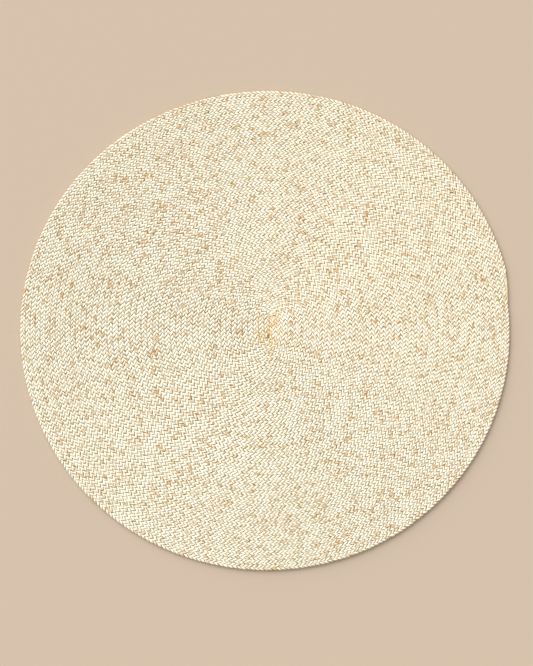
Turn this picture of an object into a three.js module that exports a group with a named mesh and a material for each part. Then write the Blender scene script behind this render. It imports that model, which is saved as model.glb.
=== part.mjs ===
// Round braided rug: one flat three-strand braid, coiled from the middle and sewn edge to edge,
// with a small binding of yarn that closes the tapered end of the braid on the rim.
// Millimetres, +Z up. The rug lies on its flat underside at z = 0, and +X runs along its longest width.

import * as THREE from 'three';

// Driving dimensions.
const MEAN_RADIUS = 893.4;          // middle of the coil to the rim, averaged all round
const BRAID_WIDTH = 18;             // one round of the coil at the rim, which it gains in every turn
const THICKNESS = 11;               // the braid lying flat
const RIM_ROUNDING = 4.5;           // radius of the braid's own rounded edge, above and below
const TAIL_START_DEG = 16;          // where the last round begins to taper, counter-clockwise from +X
const TAIL_END_DEG = 4;             // where it has vanished, because the coil grows clockwise
const BINDING_START_DEG = 13.6;     // the binding's two tips, on the same scale
const BINDING_END_DEG = 6.4;
const BINDING_WIDTH = 9.2;          // across the middle of the binding, along the rug's radius
const BINDING_HEIGHT = 8;
const SEWN_GAP = 0.3;               // left between the binding and the braid

// How the coil departs from a circle: the main one is the oval of its long, narrow start.
const UNEVENNESS = [
  { lobes: 1, cosine: 1.5, sine: -0.6 },
  { lobes: 2, cosine: 11.6, sine: -0.8 },
  { lobes: 3, cosine: -1.0, sine: 0.1 },
  { lobes: 4, cosine: -0.7, sine: -0.2 },
];

// Fineness of the facets.
const TAIL_STEPS = 30;
const RIM_STEPS = 232;
const RIM_ROUNDING_STEPS = 3;
const BINDING_STEPS = 24;
const BINDING_SIDES = 16;

// Outer edge of the whole rug at an angle counter-clockwise from +X: the spiral's outermost round,
// which tapers away over the tail.
function rugRadius(degrees) {
  const angle = THREE.MathUtils.degToRad(degrees);
  let radius = MEAN_RADIUS;
  for (const wave of UNEVENNESS) {
    radius += wave.cosine * Math.cos(wave.lobes * angle) + wave.sine * Math.sin(wave.lobes * angle);
  }
  const clockwiseTurn = THREE.MathUtils.euclideanModulo(TAIL_END_DEG - degrees, 360) / 360;
  const inTail = degrees > TAIL_END_DEG && degrees < TAIL_START_DEG;
  const left = inTail ? THREE.MathUtils.smoothstep(degrees, TAIL_END_DEG, TAIL_START_DEG) : 1;
  return radius + BRAID_WIDTH * (clockwiseTurn - 0.5) - BRAID_WIDTH * (1 - left);
}

// Width of the binding, a spindle with a tip at each end.
function bindingWidth(degrees) {
  const along = (degrees - BINDING_END_DEG) / (BINDING_START_DEG - BINDING_END_DEG);
  const inside = along > 0 && along < 1;
  return inside ? BINDING_WIDTH * Math.sin(Math.PI * along) : 0;
}

function polarPoint(degrees, radius) {
  const angle = THREE.MathUtils.degToRad(degrees);
  return new THREE.Vector2(radius * Math.cos(angle), radius * Math.sin(angle));
}

// The rim of the coil, in fine steps along the tail, where it gives way to the binding.
function coilOutline() {
  const points = [];
  for (let step = 0; step < TAIL_STEPS; step += 1) {
    const degrees = THREE.MathUtils.lerp(TAIL_END_DEG, TAIL_START_DEG, step / TAIL_STEPS);
    const recess = bindingWidth(degrees) + SEWN_GAP;
    points.push(polarPoint(degrees, rugRadius(degrees) - recess));
  }
  for (let step = 0; step < RIM_STEPS; step += 1) {
    const degrees = THREE.MathUtils.lerp(TAIL_START_DEG, TAIL_END_DEG + 360, step / RIM_STEPS);
    points.push(polarPoint(degrees, rugRadius(degrees)));
  }
  return points;
}

// The coil as one flat sheet with rounded edges, its underside at z = 0.
function coilGeometry(outline) {
  const geometry = new THREE.ExtrudeGeometry(new THREE.Shape(outline), {
    depth: THICKNESS - 2 * RIM_ROUNDING,
    steps: 1,
    bevelEnabled: true,
    bevelThickness: RIM_ROUNDING,
    bevelSize: RIM_ROUNDING,
    bevelOffset: -RIM_ROUNDING,
    bevelSegments: RIM_ROUNDING_STEPS,
  });
  geometry.translate(0, 0, RIM_ROUNDING);
  return geometry;
}

// The binding: a spindle turned about its own length, flattened, and then bent along the rim.
function bindingGeometry() {
  const profile = [];
  for (let step = 0; step <= BINDING_STEPS; step += 1) {
    const degrees = THREE.MathUtils.lerp(BINDING_END_DEG, BINDING_START_DEG, step / BINDING_STEPS);
    profile.push(new THREE.Vector2(bindingWidth(degrees) / 2, degrees));
  }
  const geometry = new THREE.LatheGeometry(profile, BINDING_SIDES);
  const places = geometry.getAttribute('position');
  for (let index = 0; index < places.count; index += 1) {
    const degrees = places.getY(index);
    const centreRadius = rugRadius(degrees) - bindingWidth(degrees) / 2;
    const place = polarPoint(degrees, centreRadius + places.getX(index));
    const height = THICKNESS / 2 + (places.getZ(index) * BINDING_HEIGHT) / BINDING_WIDTH;
    places.setXYZ(index, place.x, place.y, height);
  }
  geometry.computeVertexNormals();
  return geometry;
}

const wool = new THREE.MeshStandardMaterial({ color: '#e8dcc2', roughness: 0.95, metalness: 0 });
const goldenYarn = new THREE.MeshStandardMaterial({ color: '#dcb37c', roughness: 0.9, metalness: 0 });

const outline = coilOutline();
const coil = new THREE.Mesh(coilGeometry(outline), wool);
coil.name = 'braid_coil';

const binding = new THREE.Mesh(bindingGeometry(), goldenYarn);
binding.name = 'tail_binding';

const rug = new THREE.Group();
rug.add(coil, binding);

// The coil starts a little off the middle of the finished rug, so the whole is centred by its outline.
const middle = new THREE.Box2().setFromPoints(outline).getCenter(new THREE.Vector2());
rug.position.set(-middle.x, -middle.y, 0);

export default rug;
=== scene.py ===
# %% [markdown]
# # A round braided wool rug
# The real rug is one long flat braid of three strands. The maker starts it in the middle, coils it
# flat, sews each round to the one before, and binds the tapered end on the rim with golden yarn.
# This lesson builds it the same way: first the line that the braid follows, then the strands along
# that line, then the binding, then the yarn's finish. The construction model gives the outline and
# the thickness. Everything is in metres.

# %% Load the frame
import math

import bmesh
import bpy
import numpy as np
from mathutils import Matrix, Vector


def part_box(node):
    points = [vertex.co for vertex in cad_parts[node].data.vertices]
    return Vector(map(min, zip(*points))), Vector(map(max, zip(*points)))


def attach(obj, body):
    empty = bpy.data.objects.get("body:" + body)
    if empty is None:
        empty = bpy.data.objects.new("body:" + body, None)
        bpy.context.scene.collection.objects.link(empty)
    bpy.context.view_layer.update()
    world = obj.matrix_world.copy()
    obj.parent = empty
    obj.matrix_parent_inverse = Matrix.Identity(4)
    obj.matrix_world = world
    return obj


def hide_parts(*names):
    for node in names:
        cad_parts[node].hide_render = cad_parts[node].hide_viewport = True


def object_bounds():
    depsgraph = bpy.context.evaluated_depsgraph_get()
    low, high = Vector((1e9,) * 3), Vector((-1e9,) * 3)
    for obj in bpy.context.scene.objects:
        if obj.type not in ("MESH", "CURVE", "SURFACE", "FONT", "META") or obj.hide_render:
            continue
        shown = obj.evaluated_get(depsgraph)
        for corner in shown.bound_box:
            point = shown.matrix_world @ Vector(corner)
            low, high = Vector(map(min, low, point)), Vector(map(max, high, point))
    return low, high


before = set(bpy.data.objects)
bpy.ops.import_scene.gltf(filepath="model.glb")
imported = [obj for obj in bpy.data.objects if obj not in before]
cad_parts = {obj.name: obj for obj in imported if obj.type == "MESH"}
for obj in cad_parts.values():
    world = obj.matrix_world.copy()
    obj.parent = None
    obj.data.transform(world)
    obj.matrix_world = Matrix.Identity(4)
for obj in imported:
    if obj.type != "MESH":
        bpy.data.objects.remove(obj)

CAD_LOW, CAD_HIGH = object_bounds()
RUG_LOW, RUG_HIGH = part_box("braid_coil")
THICKNESS = RUG_HIGH[2] - RUG_LOW[2]
MID_HEIGHT = RUG_LOW[2] + THICKNESS / 2
print("rug", [round(x, 4) for x in (*RUG_LOW, *RUG_HIGH)], "thickness", round(THICKNESS, 4))

# %% [markdown]
# ## Camera
# The rug is looked at from straight above, as it would be for a catalogue, from far up through a
# long lens, so that the middle and the rim are seen alike. A camera with no rotation looks straight
# down, with +Y up in the picture.

# %% Camera
CAMERA_HEIGHT = 9.0
VIEW_TALL = 2.451
SENSOR = 36.0
AIM = (0.0054, -0.0083)

camera_data = bpy.data.cameras.new("camera")
camera_data.sensor_width = SENSOR
camera_data.lens = SENSOR * (CAMERA_HEIGHT - THICKNESS) / VIEW_TALL
camera = bpy.data.objects.new("camera", camera_data)
camera.location = (AIM[0], AIM[1], CAMERA_HEIGHT)
bpy.context.collection.objects.link(camera)
bpy.context.scene.camera = camera
print("lens", round(camera_data.lens, 2), "mm")

# %% [markdown]
# ## Outline of the rug
# The outline isn't a circle. It was sewn a little wider than it is deep, it gains one braid's width
# in every turn, and its last round tapers away on the right. A radius with a few lobes says all of
# that. These are the same few sizes as in the construction model, so the braid ends up where that
# says.

# %% Rim formula
MEAN_RADIUS = 0.8934
RIM_BRAID = 0.018
TAIL_START = math.radians(16.0)
TAIL_END = math.radians(4.0)
UNEVENNESS = (  # lobes round the rim, cosine and sine part
    (1, 0.0015, -0.0006),
    (2, 0.0116, -0.0008),
    (3, -0.0010, 0.0001),
    (4, -0.0007, -0.0002),
)
RIM_POINTS = 1440


def lobes(angle):
    """How far the rim departs from a circle at these angles, counter-clockwise from +X."""
    return sum(c * np.cos(n * angle) + s * np.sin(n * angle) for n, c, s in UNEVENNESS)


def tail_left(angle):
    """How much of the last round's width is left: 1 before the tail, 0 after, a soft S between."""
    x = np.clip((angle - TAIL_END) / (TAIL_START - TAIL_END), 0.0, 1.0)
    return x * x * (3 - 2 * x)


def rim_radius(angle):
    """Outer edge of the rug, from the middle of the coil, at angles from -180 to 180 degrees."""
    turn = ((TAIL_END - angle) % (2 * np.pi)) / (2 * np.pi)
    on_tail = (angle > TAIL_END) & (angle < TAIL_START)
    left = np.where(on_tail, tail_left(angle), 1.0)
    return MEAN_RADIUS + lobes(angle) + RIM_BRAID * (turn - 0.5) - RIM_BRAID * (1 - left)


around = np.linspace(-np.pi, np.pi, RIM_POINTS, endpoint=False)
rim_xy = rim_radius(around)[:, None] * np.stack([np.cos(around), np.sin(around)], 1)
rim_middle = (rim_xy.max(0) + rim_xy.min(0)) / 2
COIL_CENTRE = np.array([(RUG_LOW[i] + RUG_HIGH[i]) / 2 for i in (0, 1)]) - rim_middle
print("coil centre", COIL_CENTRE.round(4), "rim size", np.ptp(rim_xy, axis=0).round(4))

# %% [markdown]
# ## Radius after every turn
# The braid is a spiral. Its rounds aren't equally wide: they were worked looser about half way out
# and tighter at the rim. Adding up the turns that each bit of radius needs gives the radius after
# every turn. A small stretch of the sum makes the last round end exactly where the tail begins.

# %% Coil radius
ROUND_RADII = (0.0, 0.14, 0.29, 0.48, 0.65, 0.79, 0.90)
ROUND_WIDTHS = (0.0193, 0.0195, 0.0201, 0.0209, 0.0187, 0.0180, 0.0180)
START_ANGLE = math.radians(-90.0)
PATH_STEPS = 60000
END_RADIUS = MEAN_RADIUS - RIM_BRAID * (TAIL_START - TAIL_END) / (2 * math.pi)

path_radius = np.linspace(0.0, END_RADIUS, PATH_STEPS)
turns_per_metre = 1 / np.interp(path_radius, ROUND_RADII, ROUND_WIDTHS)
path_turns = np.concatenate([[0], np.cumsum((turns_per_metre[1:] + turns_per_metre[:-1]) / 2)])
path_turns *= path_radius[1]
first_turn = (START_ANGLE - TAIL_START) / (2 * np.pi)
FULL_TURNS = round(path_turns[-1] - first_turn) + first_turn
path_turns *= FULL_TURNS / path_turns[-1]
print("full rounds", round(FULL_TURNS, 2))

# %% [markdown]
# ## The line of the braid
# In the middle the braid runs straight for a few centimetres and doubles back beside itself, which
# makes an oval start. That is added as a push along Y that fades with the radius. On the last stretch
# the rim curves in by one braid's width and the golden binding takes part of the room that is left,
# so there the braid narrows and runs out beside the binding.

# %% Braid line
START_HALF = 0.036
START_SHIFT = (0.009, 0.018)
START_TURN = 0.12
START_SOFT = 0.1
BINDING_START = math.radians(13.6)
BINDING_END = math.radians(6.4)
BINDING_WIDTH = 0.0092
BINDING_FULLNESS = 0.7
BRAID_END = math.radians(10.6)
TURNS = FULL_TURNS + (TAIL_START - BRAID_END) / (2 * math.pi)
LINE_POINTS = 400


def binding_width(angle):
    """Width of the golden binding at these angles, widest in the middle of its length."""
    along = np.clip((BINDING_START - angle) / (BINDING_START - BINDING_END), 0, 1)
    return BINDING_WIDTH * np.sin(np.pi * along) ** BINDING_FULLNESS


def coil_point(turns):
    """Where the middle of the braid lies after these turns, and its width there."""
    angle = START_ANGLE - 2 * np.pi * turns
    radius = np.interp(turns, path_turns, path_radius)
    width = np.interp(radius, ROUND_RADII, ROUND_WIDTHS)
    out = radius + lobes(angle) * radius / MEAN_RADIUS
    tail_angle = TAIL_START - 2 * np.pi * (turns - FULL_TURNS)
    left = tail_left(tail_angle)
    room = RIM_BRAID * left - binding_width(tail_angle)
    tail = turns > FULL_TURNS
    out = np.where(tail, rim_radius(tail_angle) - RIM_BRAID * left + room / 2, out)
    width = np.where(tail, room, width)
    sine = np.sin(angle)
    place = np.stack([out * np.cos(angle), out * sine], 1)
    fade = (1 - np.minimum(radius / END_RADIUS, 1)) ** 2
    place[:, 0] += START_SHIFT[0] * fade
    place[:, 1] += (START_SHIFT[1] + START_HALF * sine / np.sqrt(START_SOFT + sine ** 2)) * fade
    return place + COIL_CENTRE, width


even_turns = np.linspace(START_TURN, TURNS, LINE_POINTS * int(TURNS))
places, _ = coil_point(even_turns)
even_length = np.concatenate([[0], np.cumsum(np.linalg.norm(np.diff(places, axis=0), axis=1))])
BRAID_LENGTH = float(even_length[-1])
print("rounds", round(TURNS, 2), "braid length", round(BRAID_LENGTH, 2), "m")

# %% [markdown]
# ## Strokes of the plait
# In a flat plait of three, each strand runs from one edge to the other on top, folds over the edge,
# and comes back underneath. So from above one sees only slanting strokes, from the left edge and
# from the right edge in turn, which meet in a row of V shapes. A strand isn't a round cord: it is
# pulled flat, its width lies along the braid, and the strokes pack side by side with no gap. Five
# places in every crossing are enough for that. Each has its share of the crossing, its place across
# from edge to edge, its height, and a lean that tucks one stroke's front side under the next.

# %% Stroke values
REPEAT = 0.0488
STROKES_PER_REPEAT = 3
EDGE_TO_MIDDLE = 0.0092
LIFT = 0.0026
FILL = 0.99
STROKE_ROWS = (  # share of the crossing, across, up, lean in degrees, half thickness
    (0.00, 1.00, 0.00, 0.0, 0.0014),  # folds over the edge
    (0.05, 0.93, 0.85, -8.0, 0.0026),  # lies on top
    (0.39, 0.22, 0.55, 6.0, 0.0022),  # dives under the stroke from the other edge
    (0.61, -0.22, -0.55, 6.0, 0.0022),  # comes out underneath
    (0.95, -0.93, -0.85, -8.0, 0.0026),  # lies underneath, before the other edge
)
AHEAD, ACROSS, UP, LEAN, HALF_THICK = np.array(STROKE_ROWS).T
STROKE_RISE = (ACROSS[1] - ACROSS[4]) * EDGE_TO_MIDDLE
STROKE_RUN = (AHEAD[4] - AHEAD[1]) / 2 * REPEAT
print("stroke angle", round(math.degrees(math.atan2(STROKE_RISE, STROKE_RUN)), 1))

# %% [markdown]
# ## Uneven hands
# Hands don't pull evenly. The repeat drifts slowly along the braid, and every single stroke is a
# little higher, wider or further on than its neighbours. The drift comes from a few slow sines and
# is nothing at both ends, and the single strokes come from seeded random numbers, so the rug is the
# same in every run.

# %% Unevenness
SLOW_DRIFT = (0.9, 0.10)  # period in metres, amount in repeats
QUICK_DRIFT = (0.2, 0.03)
DRIFT_POINTS = 20000
UNEVEN_LIFT = 0.10
UNEVEN_SWING = 0.02
UNEVEN_WIDTH = 0.04
UNEVEN_AHEAD = 0.0005
UNEVEN_MOST = 1.8
WAVES = 5
WAVE_SPREAD = (0.6, 1.7)
random = np.random.default_rng(46)


def wander(along, period, amount):
    """A slow seeded drift along the braid, from a few sines of about this period."""
    total = np.zeros_like(along)
    for _ in range(WAVES):
        wave = period * random.uniform(*WAVE_SPREAD)
        total += np.sin(2 * np.pi * along / wave + random.uniform(0, 2 * np.pi))
    return total * amount / math.sqrt(WAVES / 2)


drift_at = np.linspace(0, BRAID_LENGTH, DRIFT_POINTS)
drift = wander(drift_at, *SLOW_DRIFT) + wander(drift_at, *QUICK_DRIFT)
drift -= np.interp(drift_at, (0, BRAID_LENGTH), (drift[0], drift[-1]))
REPEATS = int(BRAID_LENGTH / REPEAT)
phase_at = drift_at / BRAID_LENGTH * REPEATS + drift
repeat_at = np.gradient(drift_at, phase_at)
print("repeats", REPEATS, "from", repeat_at.min().round(4), "to", repeat_at.max().round(4), "m")

# %% [markdown]
# ## The line of one strand
# For every ring of a strand this gives its place and its two half axes. The braid bends as it coils,
# so a stroke is wider towards the outer edge than towards the inner one, and its width there is the
# room that there is. The three strands are the same line, a third of a repeat apart. Their first two
# centimetres thin out and sink between the others, because a maker tucks the raw ends in. Real yarn
# squeezes flat at the crossings. These strands keep their shape, so there they cut into each other.

# %% Strand line
STEP = 1e-4
NARROWEST = 0.4
WIDEST = 1.8
START_TUCK = 0.02
START_THIN = 0.4


def unit(v):
    return v / np.linalg.norm(v, axis=1, keepdims=True)


def braid_frame(turns):
    """Middle and width of the braid at these turns, and the directions onward and outward."""
    middle, width = coil_point(turns)
    ahead, _ = coil_point(turns + STEP)
    onward = unit(ahead - middle)
    return middle, width, onward, np.stack([-onward[:, 1], onward[:, 0]], 1)


def strand_line(strand):
    """Length, centre, sideways and upward half axes, and shade of a whole strand, ring by ring."""
    ring = np.arange(2 * (REPEATS + 1) * len(STROKE_ROWS))
    crossing, row = ring // len(STROKE_ROWS), ring % len(STROKE_ROWS)
    uneven = random.normal(size=(5, crossing[-1] + 1)).clip(-UNEVEN_MOST, UNEVEN_MOST)[:, crossing]
    phase = (crossing + AHEAD[row]) / 2 - strand / 3 + UNEVEN_AHEAD / REPEAT * uneven[3]
    inside = (phase > 0) & (phase < REPEATS)
    crossing, row, uneven, phase = crossing[inside], row[inside], uneven[:, inside], phase[inside]
    along = np.interp(phase, phase_at, drift_at)
    turns = np.interp(along, even_length, even_turns)
    middle, width, onward, outward = braid_frame(turns)
    size = width / ROUND_WIDTHS[0]
    swing = EDGE_TO_MIDDLE * size * (1 + UNEVEN_SWING * uneven[1])
    across = (np.where(crossing % 2, -1, 1) * ACROSS[row] * swing)[:, None]
    tuck = np.minimum(along / START_TUCK, 1)
    height = MID_HEIGHT + LIFT * UP[row] * tuck * (1 + UNEVEN_LIFT * uneven[0])
    centre = np.hstack([middle + outward * across, height[:, None]])

    ahead, _, _, outward_ahead = braid_frame(turns + STEP)
    step = np.linalg.norm(ahead + outward_ahead * across - centre[:, :2], axis=1)
    spread = (step / np.linalg.norm(ahead - middle, axis=1)).clip(NARROWEST, WIDEST)
    room = np.interp(along, drift_at, repeat_at) / STROKES_PER_REPEAT * spread
    half_wide = room / 2 * FILL * (1 + UNEVEN_WIDTH * uneven[2])
    half_thick = HALF_THICK[row] * np.sqrt(size) * (START_THIN + (1 - START_THIN) * tuck)

    lean = np.radians(LEAN[row])[:, None]
    side = np.hstack([onward * np.cos(lean), -np.sin(lean)])
    pull = np.gradient(centre, axis=0)
    heading = unit(pull - side * (pull * side).sum(1)[:, None])
    top = np.cross(heading, side)
    shade = 0.5 + 0.5 * uneven[4] / UNEVEN_MOST
    return along, centre, side * half_wide[:, None], top * half_thick[:, None], shade


_, sample_width, _, _ = braid_frame(np.array([START_TURN, TURNS / 2, FULL_TURNS]))
print("braid width at the start, half way and at the tail", sample_width.round(4))

# %% [markdown]
# ## Rolling a strand
# A strand could be a curve with a bevel, but a flat grid rolled into a tube keeps the map that the
# grid operator makes: once round the strand one way, and along it the other. The yarn's finish
# follows that map. The grid's two long edges meet on the strand's underside and are welded there, and
# both ends are capped, so that every strand is a closed solid. A strand is thousands of times longer
# than it is wide, so the second map cuts it into rows that lie side by side on a square.

# %% Strand builder
SECTION_TURNS = np.radians((-130.0, -50.0, 0.0, 50.0, 130.0, 180.0, 230.0))
SECTION_ROUND = np.array((0.0, 0.268, 0.384, 0.5, 0.768, 0.884, 1.0))
FLAT_AT = math.sin(math.radians(50.0))
SIDES = len(SECTION_TURNS) - 1
WELD = 1e-6
ROW_GAP = 0.03


def rows_on_square(ring, across, rings, rows):
    """A long strip's corners laid in rows on a square, four corners to a face."""
    per_row = math.ceil((rings - 1) / rows)
    row = np.repeat(np.floor(ring.reshape(-1, 4).mean(1) / per_row), 4)
    up = (row + ROW_GAP + (1 - 2 * ROW_GAP) * across) / rows
    return np.stack([ring / per_row - row, up], 1).astype(np.float32)


def roll_strand(name, along, centre, side, top, shade, bake_rows=0):
    """One length of strand: a welded and capped tube with its maps and its shade."""
    rings = len(along)
    bm = bmesh.new()
    bm.loops.layers.uv.new("Yarn")
    bmesh.ops.create_grid(bm, x_segments=SIDES, y_segments=rings - 1, size=1.0, calc_uvs=True)
    mesh = bpy.data.meshes.new(name)
    bm.to_mesh(mesh)
    bm.free()

    wide = np.cos(SECTION_TURNS)[None, :, None] * side[:, None, :]
    thick = np.sin(SECTION_TURNS)[None, :, None] / FLAT_AT * top[:, None, :]
    skin = centre[:, None, :] + wide + thick
    skin[:, :, 2] = np.clip(skin[:, :, 2], RUG_LOW[2], RUG_HIGH[2])
    mesh.vertices.foreach_set("co", skin.astype(np.float32).ravel())
    stroke_shade = np.repeat(shade, SIDES + 1).astype(np.float32)
    mesh.attributes.new("stroke_shade", "FLOAT", "POINT").data.foreach_set("value", stroke_shade)

    uv = np.empty(len(mesh.loops) * 2, np.float32)
    mesh.uv_layers["Yarn"].uv.foreach_get("vector", uv)
    uv = uv.reshape(-1, 2)
    ring = uv[:, 1] * (rings - 1)
    if bake_rows:
        chart = mesh.uv_layers.new(name="OFBake")
        chart.uv.foreach_set("vector", rows_on_square(ring, uv[:, 0], rings, bake_rows).ravel())
    uv[:, 0] = np.interp(uv[:, 0], np.arange(SIDES + 1) / SIDES, SECTION_ROUND)
    uv[:, 1] = np.interp(ring, np.arange(rings), along)
    mesh.uv_layers["Yarn"].uv.foreach_set("vector", uv.ravel())

    bm = bmesh.new()
    bm.from_mesh(mesh)
    seam = [v for v in bm.verts if v.is_boundary]
    bmesh.ops.remove_doubles(bm, verts=seam, dist=WELD)
    ends = [e for e in bm.edges if e.is_boundary]
    bmesh.ops.holes_fill(bm, edges=ends, sides=SIDES)
    bmesh.ops.recalc_face_normals(bm, faces=bm.faces)
    for face in bm.faces:
        face.smooth = True
    bm.to_mesh(mesh)
    bm.free()
    return mesh


def stand(name, mesh):
    """A finished mesh as a piece of the rug."""
    piece = bpy.data.objects.new(name, mesh)
    bpy.context.collection.objects.link(piece)
    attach(piece, "root")
    return piece


print("sides of a strand", SIDES, "flat at", round(FLAT_AT, 3), "of its thickness")

# %% [markdown]
# ## The whole braid
# The braid is far too long for one mesh, so each of the three strands is made in five lengths, from
# the middle outwards. Each length keeps the number of its strand, because the three strands are not
# equally brown.

# %% Roll the braid
LENGTHS = 5
BAKE_ROWS = 32

strands = []
for strand in range(3):
    line = strand_line(strand)
    cuts = np.linspace(0, len(line[0]) - 1, LENGTHS + 1).round().astype(int)
    for part in range(LENGTHS):
        name = f"braid_{part + 1}_strand_{'abc'[strand]}"
        piece_line = [values[cuts[part]:cuts[part + 1] + 1] for values in line]
        piece = stand(name, roll_strand(name, *piece_line, bake_rows=BAKE_ROWS))
        piece["strand"] = strand
        strands.append(piece)
print("strand pieces", len(strands), "triangles", sum(2 * len(p.data.polygons) for p in strands))

# %% [markdown]
# ## The golden binding
# The tapered end of the braid is held to the rim by a lashing of golden yarn. It is a spindle of a
# few thick yarns that twist slowly round each other and come to a point at both ends. Each yarn is
# rolled like a strand, with a round section, and all of them are joined in one mesh.

# %% Binding
BINDING_YARNS = 7
BINDING_RINGS = 110
BINDING_TWISTS = 1.6
BINDING_HEIGHT = 0.008
BINDING_YARN_HALF = 0.0016
BINDING_YARN_MOST = 0.45  # of the half width, where the spindle is narrow
BINDING_TIP = 0.02  # share of the length left off at both ends

share = np.linspace(BINDING_TIP, 1 - BINDING_TIP, BINDING_RINGS)
angle = BINDING_START + (BINDING_END - BINDING_START) * share
outward = np.stack([np.cos(angle), np.sin(angle), np.zeros(BINDING_RINGS)], 1)
half_wide = binding_width(angle) / 2
half_tall = BINDING_HEIGHT / 2 * np.sqrt(np.sin(np.pi * share))
axis = outward * (rim_radius(angle) - half_wide)[:, None] + (*COIL_CENTRE, MID_HEIGHT)
yarn_half = np.minimum(BINDING_YARN_HALF, BINDING_YARN_MOST * half_wide)
bm = bmesh.new()
for yarn in range(BINDING_YARNS):
    turned = 2 * np.pi * (yarn / BINDING_YARNS + BINDING_TWISTS * share)
    centre = axis + outward * ((half_wide - yarn_half) * np.cos(turned))[:, None]
    centre[:, 2] += (half_tall - yarn_half) * np.sin(turned)
    heading = unit(np.gradient(centre, axis=0))
    side = unit(np.cross(heading, (0, 0, 1)))
    top = np.cross(side, heading)
    along = np.concatenate([[0], np.cumsum(np.linalg.norm(np.diff(centre, axis=0), axis=1))])
    size = yarn_half[:, None]
    shade = np.full(BINDING_RINGS, random.uniform(0, 1))
    yarn_mesh = roll_strand("binding yarn", along + yarn, centre, side * size, top * size, shade)
    bm.from_mesh(yarn_mesh)
    bpy.data.meshes.remove(yarn_mesh)
binding_mesh = bpy.data.meshes.new("tail_binding_yarns")
bm.to_mesh(binding_mesh)
bm.free()
binding = stand("tail_binding_yarns", binding_mesh)
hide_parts("tail_binding")
print("binding triangles", 2 * len(binding_mesh.polygons), [a.name for a in binding_mesh.attributes])

# %% [markdown]
# ## The sewn middle
# Between the upper and the lower strokes the strands and the sewing thread fill the rug with packed
# yarn. It is seen only at the bottom of the smallest pits and in the little hole at the start, so its
# dark tan is painted shade. One flat disc stands for it: a circle whose rim follows the rug's, pushed
# up into a closed sheet.

# %% Sewn middle
MIDDLE_STEPS = 240
MIDDLE_INSET = 0.007
MIDDLE_THICK = 0.0030

bm = bmesh.new()
bmesh.ops.create_circle(bm, cap_ends=True, radius=1.0, segments=MIDDLE_STEPS)
for vert in bm.verts:
    angle = math.atan2(vert.co.y, vert.co.x)
    reach = float(rim_radius(angle)) - MIDDLE_INSET
    x = COIL_CENTRE[0] + reach * math.cos(angle)
    y = COIL_CENTRE[1] + reach * math.sin(angle)
    vert.co = (x, y, MID_HEIGHT - MIDDLE_THICK / 2)
raised = bmesh.ops.extrude_face_region(bm, geom=bm.faces[:])["geom"]
raised = [part for part in raised if isinstance(part, bmesh.types.BMVert)]
bmesh.ops.translate(bm, verts=raised, vec=(0, 0, MIDDLE_THICK))
bmesh.ops.recalc_face_normals(bm, faces=bm.faces)
middle_mesh = bpy.data.meshes.new("sewn_middle")
bm.to_mesh(middle_mesh)
bm.free()
sewn_middle = stand("sewn_middle", middle_mesh)
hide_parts("braid_coil")
print("sewn middle", [round(x, 3) for x in sewn_middle.dimensions])

# %% [markdown]
# ## The yarn's finish
# Each strand is a bundle of soft wool yarns. From close by it shows the yarns lying side by side with
# a slow twist, fine fibres along them, and tan yarns that come to the top and sink again. From
# further off it shows cream crests and hollows painted tan as shade, and whole rounds that are a
# little browner, because a new ball of yarn was joined in. Small helper functions keep the node trees
# short.

# %% Node helpers
def new_group(name, inputs, outputs):
    """An empty shader group with float inputs and float outputs."""
    group = bpy.data.node_groups.new(name, "ShaderNodeTree")
    for label, value in inputs.items():
        socket = group.interface.new_socket(label, in_out="INPUT", socket_type="NodeSocketFloat")
        socket.default_value = value
    for label in outputs:
        group.interface.new_socket(label, in_out="OUTPUT", socket_type="NodeSocketFloat")
    given = group.nodes.new("NodeGroupInput").outputs
    made = group.nodes.new("NodeGroupOutput").inputs
    return group, given, made


def connect(tree, node, index, value):
    """Feed one input of a node, with a number or from another socket."""
    if isinstance(value, bpy.types.NodeSocket):
        tree.links.new(value, node.inputs[index])
    elif value is not None:
        node.inputs[index].default_value = value


def calc(tree, operation, *values):
    """A Math node, and its result."""
    node = tree.nodes.new("ShaderNodeMath")
    node.operation = operation
    for index, value in enumerate(values):
        connect(tree, node, index, value)
    return node.outputs[0]


def vector(tree, x, y, z):
    node = tree.nodes.new("ShaderNodeCombineXYZ")
    for index, value in enumerate((x, y, z)):
        connect(tree, node, index, value)
    return node.outputs[0]


def parts(tree, socket):
    node = tree.nodes.new("ShaderNodeSeparateXYZ")
    connect(tree, node, 0, socket)
    return node.outputs


def object_place(tree):
    return tree.nodes.new("ShaderNodeTexCoord").outputs["Object"]


def noise(tree, place, scale, detail=2.0, dimensions="3D"):
    """A Noise texture from 0 to 1, read at a place, or at a distance where it is 1D."""
    node = tree.nodes.new("ShaderNodeTexNoise")
    node.noise_dimensions = dimensions
    connect(tree, node, "W" if dimensions == "1D" else "Vector", place)
    connect(tree, node, "Scale", scale)
    connect(tree, node, "Detail", detail)
    return node.outputs["Fac"]


def ramp(tree, value, low, high):
    """0 below low, 1 above high, a soft step between."""
    node = tree.nodes.new("ShaderNodeMapRange")
    node.interpolation_type = "SMOOTHSTEP"
    for label, feed in (("Value", value), ("From Min", low), ("From Max", high)):
        connect(tree, node, label, feed)
    return node.outputs["Result"]


def blend(tree, share, a, b):
    """Colour a where share is 0 and b where it is 1."""
    node = tree.nodes.new("ShaderNodeMix")
    node.data_type = "RGBA"
    connect(tree, node, 0, share)
    connect(tree, node, 6, a)
    connect(tree, node, 7, b)
    return node.outputs[2]


def place_group(tree, group, **values):
    """A group in a tree, with its inputs set by name, underscores for spaces."""
    node = tree.nodes.new("ShaderNodeGroup")
    node.node_tree = group
    for label, value in values.items():
        connect(tree, node, label.replace("_", " "), value)
    return node.outputs


def tone(r, g, b):
    """A colour as it looks, from 0 to 255, as the renderer wants it."""
    return (*(((c / 255 + 0.055) / 1.055) ** 2.4 for c in (r, g, b)), 1.0)


print("middle grey as the renderer wants it", round(tone(128, 128, 128)[0], 3))
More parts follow.
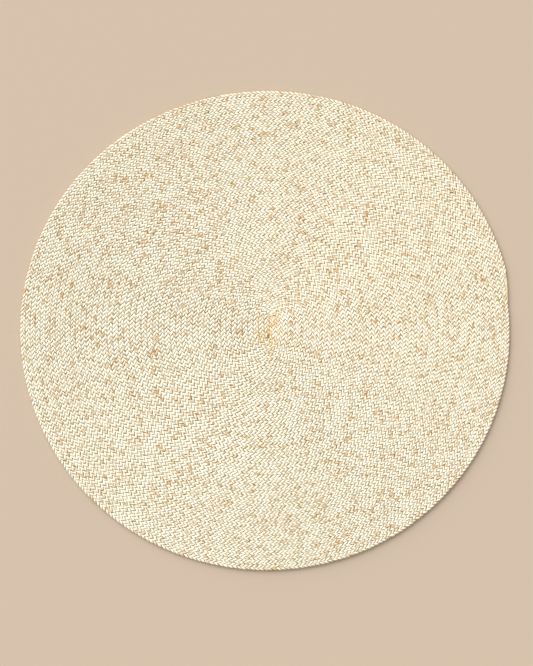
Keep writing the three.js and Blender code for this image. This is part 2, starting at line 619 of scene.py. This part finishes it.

# %% [markdown]
# ## Crests and hollows
# The tops of the strokes are clean and pale, and the dips between them are painted tan as shade.
# The height above the rug's middle tells one from the other, on both faces alike. A fine noise makes
# the line between them ragged.

# %% Group for crests
RAGGED_SCALE = 260.0

hollow_shade_group, given, made = new_group(
    "crests and hollows",
    {"Middle": MID_HEIGHT, "Hollow": 0.0007, "Crest": 0.0019, "Ragged": 0.0024},
    ("Crest",),
)
tree = hollow_shade_group
# Below the crest height the wool gets painted shade instead of its own colour.
height = parts(tree, object_place(tree))[2]
from_middle = calc(tree, "ABSOLUTE", calc(tree, "SUBTRACT", height, given["Middle"]))
ragged = calc(tree, "SUBTRACT", noise(tree, object_place(tree), RAGGED_SCALE), 0.5)
uneven_height = calc(tree, "MULTIPLY_ADD", ragged, given["Ragged"], from_middle)
tree.links.new(ramp(tree, uneven_height, given["Hollow"], given["Crest"]), made["Crest"])
print(hollow_shade_group.name, "->", [s.name for s in made if s.name])

# %% [markdown]
# ## Yarns in a strand
# The strand's own map goes once round it and along it in metres. A slow twist added to the way round
# turns that into a dozen yarns, each with its own number, a rounded height and its own spots of tan.
# The fibres come from noise that is stretched along the yarn. The group also passes on how far round
# the strand a place is from the strand's hind side.

# %% Group for yarns
HIND_SIDE = SECTION_ROUND[5]
SPOTS_PER_METRE = 70.0
SPOT_LOW = 0.22
SPOT_HIGH = 0.78
YARNS_APART = 3.7  # so that neighbours read the noise far from each other
WOBBLE_SCALE = 9.0
WOBBLE = 0.5
GROOVE_SHARPNESS = 2.5
FIBRE_ROUND = 4.0
FIBRE_ALONG = 60.0
FIBRE_SCALE = 1.6
FIBRE_DETAIL = 3.0

yarn_group, given, made = new_group(
    "yarns in a strand",
    {"Yarns": 12.0, "Twist": 5.0, "Seed": 0.0},
    ("Yarn Tone", "Yarn Height", "Fibre", "Along", "From Hind Side", "Stroke"),
)
tree = yarn_group
own_map = tree.nodes.new("ShaderNodeUVMap")
own_map.uv_map = "Yarn"
way_round, way_along, _ = parts(tree, own_map.outputs["UV"])
seeded = calc(tree, "ADD", way_along, given["Seed"])
twisted = calc(tree, "MULTIPLY_ADD", way_along, given["Twist"], way_round)
wobble = noise(tree, seeded, WOBBLE_SCALE, 1.0, "1D")
twisted = calc(tree, "MULTIPLY_ADD", wobble, WOBBLE, twisted)
turned = calc(tree, "FRACT", twisted)
counted = calc(tree, "MULTIPLY", turned, given["Yarns"])
number = calc(tree, "MULTIPLY", calc(tree, "FLOOR", counted), YARNS_APART)
spots_along = calc(tree, "MULTIPLY_ADD", way_along, SPOTS_PER_METRE, given["Seed"])
spots = noise(tree, vector(tree, number, spots_along, given["Seed"]), 1.0, 0.0)
tree.links.new(ramp(tree, spots, SPOT_LOW, SPOT_HIGH), made["Yarn Tone"])
across_yarn = calc(tree, "MULTIPLY_ADD", calc(tree, "FRACT", counted), 2.0, -1.0)
groove = calc(tree, "POWER", calc(tree, "ABSOLUTE", across_yarn), GROOVE_SHARPNESS)
tree.links.new(calc(tree, "SUBTRACT", 1.0, groove), made["Yarn Height"])
circle = calc(tree, "MULTIPLY", turned, 2 * math.pi)
fibre_x = calc(tree, "MULTIPLY", calc(tree, "COSINE", circle), FIBRE_ROUND)
fibre_y = calc(tree, "MULTIPLY", calc(tree, "SINE", circle), FIBRE_ROUND)
fibre_z = calc(tree, "MULTIPLY_ADD", way_along, FIBRE_ALONG, given["Seed"])
fibre_place = vector(tree, fibre_x, fibre_y, fibre_z)
tree.links.new(noise(tree, fibre_place, FIBRE_SCALE, FIBRE_DETAIL), made["Fibre"])
tree.links.new(way_along, made["Along"])
from_hind = calc(tree, "FRACT", calc(tree, "ADD", way_round, 0.5 - HIND_SIDE))
from_hind = calc(tree, "ABSOLUTE", calc(tree, "SUBTRACT", from_hind, 0.5))
tree.links.new(from_hind, made["From Hind Side"])
stroke_shade = tree.nodes.new("ShaderNodeAttribute")
stroke_shade.attribute_name = "stroke_shade"
tree.links.new(stroke_shade.outputs["Fac"], made["Stroke"])
print(yarn_group.name, "->", [s.name for s in made if s.name])

# %% [markdown]
# ## Shades over the rug
# Two slow noises shade it: one along the braid, for the balls of yarn, and one over the whole rug,
# for patches. The maker began with golden yarn, so the start has golden strokes scattered among
# the cream ones. They thin out over an oval a little taller than it is wide.

# %% Group for shades
BALL_SCALE = 0.35
PATCH_SCALE = 22.0
PATCH_DETAIL = 3.0
GOLD_SHARE = 0.70
GOLD_REACH = 0.17
OVAL_X = 1.25
OVAL_Y = 0.85
OVAL_MIDDLE = COIL_CENTRE + START_SHIFT

shade_group, given, made = new_group("shades over the rug", {"Along": 0.0}, ("Ball", "Patch", "Gold"))
tree = shade_group
tree.links.new(noise(tree, given["Along"], BALL_SCALE, 1.0, "1D"), made["Ball"])
tree.links.new(noise(tree, object_place(tree), PATCH_SCALE, PATCH_DETAIL), made["Patch"])
oval = tree.nodes.new("ShaderNodeMapping")
connect(tree, oval, "Vector", object_place(tree))
connect(tree, oval, "Location", (-OVAL_X * OVAL_MIDDLE[0], -OVAL_Y * OVAL_MIDDLE[1], 0.0))
connect(tree, oval, "Scale", (OVAL_X, OVAL_Y, 0.0))
reach = tree.nodes.new("ShaderNodeVectorMath")
reach.operation = "LENGTH"
connect(tree, reach, 0, oval.outputs["Vector"])
gold = calc(tree, "MULTIPLY_ADD", reach.outputs["Value"], -1 / GOLD_REACH, GOLD_SHARE)
tree.links.new(gold, made["Gold"])
print(shade_group.name, "->", [s.name for s in made if s.name])

# %% [markdown]
# ## Wool of the strands
# The crest colour is cream with tan yarns, and the hollows are painted tan as shade, paler where the
# fibre noise says so. The hind side of every stroke, which the next stroke covers, is painted in that
# shade, darkest along its edge. A few dark specks of hair are spun in. Wool is matt, with a faint
# sheen and a soft relief of yarns.

# %% Wool material
CREAM = tone(255, 252, 231)
TAN_YARN = tone(214, 176, 118)
HOLLOW_SHADE_TAN = tone(174, 131, 68)
HOLLOW_SHADE_PALE = tone(244, 203, 140)
BROWN = tone(118, 88, 58)
GOLD_IN_SHADE = tone(222, 178, 112)
GOLD_PALE = tone(246, 216, 164)
HIND_SHADE_TAN = tone(172, 120, 56)
HIND_SHADE_LOW = 0.03
HIND_SHADE_HIGH = 0.13
HIND_LOW = 0.10
HIND_HIGH = 0.14
BALL_PUSH = 0.12
PATCH_PUSH = 0.08
STROKE_PUSH = 0.7
TAN_SOFT = 0.15
GOLD_SOFT = 0.12
GOLD_BY_STROKE = 0.6
GOLD_BY_YARN = 0.5
PUSH_IN_HOLLOWS = 0.8
DEEP_LOW = 0.2
DEEP_HIGH = 0.8
SPECK_SCALE = 90.0
SPECK_LOW = 0.72
SPECK_HIGH = 0.77
WOOL_ROUGH = 0.75
ROUGH_BY_FIBRE = 0.2
FIBRE_RELIEF = 0.5
WOOL_RELIEF = 0.0006
RELIEF_STRENGTH = 0.8
SHEEN = 0.15
SHEEN_ROUGH = 0.6
SPECULAR = 0.2


def matt_wool(name, colour_of, relief):
    """A matt, soft material; colour_of gives colour, roughness and relief height in its tree."""
    material = bpy.data.materials.new(name)
    material.use_nodes = True
    tree = material.node_tree
    shader = tree.nodes["Principled BSDF"]
    colour, rough, height = colour_of(tree)
    tree.links.new(colour, shader.inputs["Base Color"])
    tree.links.new(rough, shader.inputs["Roughness"])
    bump = tree.nodes.new("ShaderNodeBump")
    bump.inputs["Strength"].default_value = RELIEF_STRENGTH
    bump.inputs["Distance"].default_value = relief
    tree.links.new(height, bump.inputs["Height"])
    tree.links.new(bump.outputs["Normal"], shader.inputs["Normal"])
    shader.inputs["Sheen Weight"].default_value = SHEEN
    shader.inputs["Sheen Roughness"].default_value = SHEEN_ROUGH
    shader.inputs["Specular IOR Level"].default_value = SPECULAR
    return material


def centred(tree, value, amount):
    """A value from 0 to 1 turned into one from -amount / 2 to amount / 2."""
    return calc(tree, "MULTIPLY_ADD", value, amount, -amount / 2)


def yarn_relief(tree, yarn):
    """The rounded yarns, with their fibres on top."""
    return calc(tree, "MULTIPLY_ADD", yarn["Fibre"], FIBRE_RELIEF, yarn["Yarn Height"])


def strand_colour(tree, tan_share, seed):
    """Colour, roughness and relief of one strand; a bigger share is a browner strand."""
    crest = place_group(tree, hollow_shade_group)["Crest"]
    yarn = place_group(tree, yarn_group, Seed=seed)
    shade = place_group(tree, shade_group, Along=yarn["Along"])
    # Painted shade: the hind side of every stroke, where the next stroke covers it, gets no crest.
    crest = calc(tree, "MULTIPLY", crest, ramp(tree, yarn["From Hind Side"], HIND_LOW, HIND_HIGH))
    push = centred(tree, shade["Ball"], BALL_PUSH)
    push = calc(tree, "ADD", push, centred(tree, shade["Patch"], PATCH_PUSH))
    push = calc(tree, "ADD", push, centred(tree, yarn["Stroke"], STROKE_PUSH))
    tan_yarn = calc(tree, "ADD", yarn["Yarn Tone"], push)
    tan_yarn = ramp(tree, tan_yarn, 1 - tan_share - TAN_SOFT, 1 - tan_share + TAN_SOFT)
    deep = calc(tree, "MULTIPLY_ADD", push, -PUSH_IN_HOLLOWS, yarn["Fibre"])
    # Painted shade for the hollows: tan, paler where the fibre noise says so.
    painted_hollow_shade = blend(tree, ramp(tree, deep, DEEP_LOW, DEEP_HIGH), HOLLOW_SHADE_TAN, HOLLOW_SHADE_PALE)
    # Painted shade: a darker tan still along the edge of the hind side.
    off_hind_shade = ramp(tree, yarn["From Hind Side"], HIND_SHADE_LOW, HIND_SHADE_HIGH)
    painted_hollow_shade = blend(tree, off_hind_shade, HIND_SHADE_TAN, painted_hollow_shade)
    # Where the crest mask is low, the painted hollow shade takes the place of the yarn's colour.
    colour = blend(tree, crest, painted_hollow_shade, blend(tree, tan_yarn, CREAM, TAN_YARN))
    golden = calc(tree, "SUBTRACT", shade["Gold"], 1.0)
    golden = calc(tree, "MULTIPLY_ADD", yarn["Stroke"], GOLD_BY_STROKE, golden)
    golden = calc(tree, "MULTIPLY_ADD", yarn["Yarn Tone"], GOLD_BY_YARN, golden)
    golden = ramp(tree, golden, 0.0, GOLD_SOFT)
    # Golden strokes are painted darker in the hollows as shade, and paler on the crests.
    colour = blend(tree, golden, colour, blend(tree, crest, GOLD_IN_SHADE, GOLD_PALE))
    speck = noise(tree, vector(tree, yarn["Along"], seed, yarn["Yarn Tone"]), SPECK_SCALE, 1.0)
    colour = blend(tree, ramp(tree, speck, SPECK_LOW, SPECK_HIGH), colour, BROWN)
    rough = calc(tree, "MULTIPLY_ADD", yarn["Fibre"], ROUGH_BY_FIBRE, WOOL_ROUGH)
    return colour, rough, yarn_relief(tree, yarn)


STRAND_SHARES = (("wool_a", 0.19, 1.7), ("wool_b", 0.12, 5.3), ("wool_c", 0.08, 9.1))
wools = [
    matt_wool(name, lambda tree, share=share, seed=seed: strand_colour(tree, share, seed), WOOL_RELIEF)
    for name, share, seed in STRAND_SHARES
]
print("wools", [m.name for m in wools])

# %% [markdown]
# ## Golden yarn, and packed wool painted in shade
# The binding's yarn is the same wool in a golden tone, plied from a few thinner ends, so it uses the
# same yarn group with fewer and more twisted yarns. The imported yarn in the middle is painted a dark
# tan as shade, with noise that is stretched both ways so that it looks like fibres pressed together.

# %% Golden and packed wool
GOLDEN = tone(238, 204, 154)
GOLDEN_PALE = tone(252, 230, 190)
PACKED_SHADE = tone(128, 100, 62)
PACKED_SHADE_PALE = tone(166, 136, 92)
PALE_BY_STROKE = 0.5
PALE_BY_FIBRE = 0.6
PALE_LOW = 0.1
PALE_HIGH = 1.0
GOLDEN_ROUGH = 0.7
GOLDEN_RELIEF = 0.0004
PACKED_ALONG = 90.0
PACKED_ACROSS = 900.0
OTHER_LAYER = 5.0
PACKED_LOW = 0.35
PACKED_HIGH = 0.75
PACKED_ROUGH = 0.8
PACKED_ROUGH_BY_FIBRE = 0.15
PACKED_RELIEF = 0.0005


def golden_colour(tree):
    yarn = place_group(tree, yarn_group, Yarns=4.0, Twist=60.0, Seed=3.1)
    pale = calc(tree, "ADD", centred(tree, yarn["Stroke"], PALE_BY_STROKE), yarn["Yarn Tone"])
    pale = calc(tree, "ADD", pale, centred(tree, yarn["Fibre"], PALE_BY_FIBRE))
    colour = blend(tree, ramp(tree, pale, PALE_LOW, PALE_HIGH), GOLDEN, GOLDEN_PALE)
    rough = calc(tree, "MULTIPLY_ADD", yarn["Fibre"], ROUGH_BY_FIBRE, GOLDEN_ROUGH)
    return colour, rough, yarn_relief(tree, yarn)


# Painted shade: the middle's yarn shows only at the bottom of pits, so it is coloured dark.
def packed_shade_colour(tree):
    x, y, _ = parts(tree, object_place(tree))
    long_x, short_x = (calc(tree, "MULTIPLY", x, size) for size in (PACKED_ALONG, PACKED_ACROSS))
    long_y, short_y = (calc(tree, "MULTIPLY", y, size) for size in (PACKED_ALONG, PACKED_ACROSS))
    fibres_x = noise(tree, vector(tree, long_x, short_y, 0.0), 1.0)
    fibres_y = noise(tree, vector(tree, short_x, long_y, OTHER_LAYER), 1.0)
    fibres = calc(tree, "MAXIMUM", fibres_x, fibres_y)
    colour = blend(tree, ramp(tree, fibres, PACKED_LOW, PACKED_HIGH), PACKED_SHADE, PACKED_SHADE_PALE)
    rough = calc(tree, "MULTIPLY_ADD", fibres, PACKED_ROUGH_BY_FIBRE, PACKED_ROUGH)
    return colour, rough, fibres


golden_wool = matt_wool("golden_wool", golden_colour, GOLDEN_RELIEF)
packed_wool_shade = matt_wool("packed_wool_shade", packed_shade_colour, PACKED_RELIEF)
print("materials", [m.name for m in bpy.data.materials])

# %% [markdown]
# ## Dress the pieces
# The three wools go on the three strands, in the slot that the rug's wool can be changed by. The
# golden yarn has a slot of its own.

# %% Slots
for piece in strands:
    piece.data.materials.append(wools[piece["strand"]])
sewn_middle.data.materials.append(packed_wool_shade)
binding.data.materials.append(golden_wool)
print("dressed", len(strands) + 2, "pieces")

# %% [markdown]
# ## Floor
# A plain pale floor, a hair below the rug so that the two never share a face.

# %% Floor
FLOOR_HALF = 60.0
FLOOR_DROP = 0.0002
FLOOR_TONE = tone(197, 178, 157)
FLOOR_ROUGH = 0.9

bm = bmesh.new()
bmesh.ops.create_grid(bm, x_segments=1, y_segments=1, size=FLOOR_HALF)
bmesh.ops.translate(bm, verts=bm.verts, vec=(0, 0, CAD_LOW[2] - FLOOR_DROP))
floor_mesh = bpy.data.meshes.new("floor")
bm.to_mesh(floor_mesh)
bm.free()
floor = bpy.data.objects.new("floor", floor_mesh)
bpy.context.collection.objects.link(floor)
floor_paint = bpy.data.materials.new("floor_paint")
floor_paint.use_nodes = True
floor_shader = floor_paint.node_tree.nodes["Principled BSDF"]
floor_shader.inputs["Base Color"].default_value = FLOOR_TONE
floor_shader.inputs["Roughness"].default_value = FLOOR_ROUGH
floor_mesh.materials.append(floor_paint)
print("floor at", round(CAD_LOW[2] - FLOOR_DROP, 4))

# %% [markdown]
# ## Light
# One big soft lamp from the upper left, low enough to show the strokes and to lay a short shadow on
# the floor at the lower right, and an even pale surrounding for the rest. The camera, and anything
# that mirrors, sees a plain backdrop beyond the floor instead, close to the floor's own tone.

# %% Light
LAMP_FROM = math.radians(130)
LAMP_HEIGHT = 0.46
LAMP_ENERGY = 4.02
LAMP_SOFTNESS = 56
SURROUNDING = 0.665
BACKDROP = tone(222, 206, 187)

sun_data = bpy.data.lights.new("big_soft_lamp", "SUN")
sun_data.energy = LAMP_ENERGY
sun_data.angle = math.radians(LAMP_SOFTNESS)
sun = bpy.data.objects.new("big_soft_lamp", sun_data)
light_from = Vector((math.cos(LAMP_FROM), math.sin(LAMP_FROM), LAMP_HEIGHT))
sun.rotation_mode = "QUATERNION"
sun.rotation_quaternion = light_from.to_track_quat("Z", "Y")
bpy.context.collection.objects.link(sun)
world = bpy.data.worlds.new("soft_room")
world.use_nodes = True
tree = world.node_tree
lighting = tree.nodes["Background"]
lighting.inputs["Color"].default_value = (1, 1, 1, 1)
lighting.inputs["Strength"].default_value = SURROUNDING
backdrop = tree.nodes.new("ShaderNodeBackground")
backdrop.inputs["Color"].default_value = BACKDROP
seen = tree.nodes.new("ShaderNodeMixShader")
rays = tree.nodes.new("ShaderNodeLightPath").outputs
mirrored = calc(tree, "MAXIMUM", rays["Is Glossy Ray"], rays["Is Transmission Ray"])
tree.links.new(calc(tree, "MAXIMUM", rays["Is Camera Ray"], mirrored), seen.inputs[0])
tree.links.new(lighting.outputs[0], seen.inputs[1])
tree.links.new(backdrop.outputs[0], seen.inputs[2])
tree.links.new(seen.outputs[0], tree.nodes["World Output"].inputs["Surface"])
bpy.context.scene.world = world
bpy.context.scene.view_settings.view_transform = "Standard"
print("lamp from", [round(x, 2) for x in light_from.normalized()])
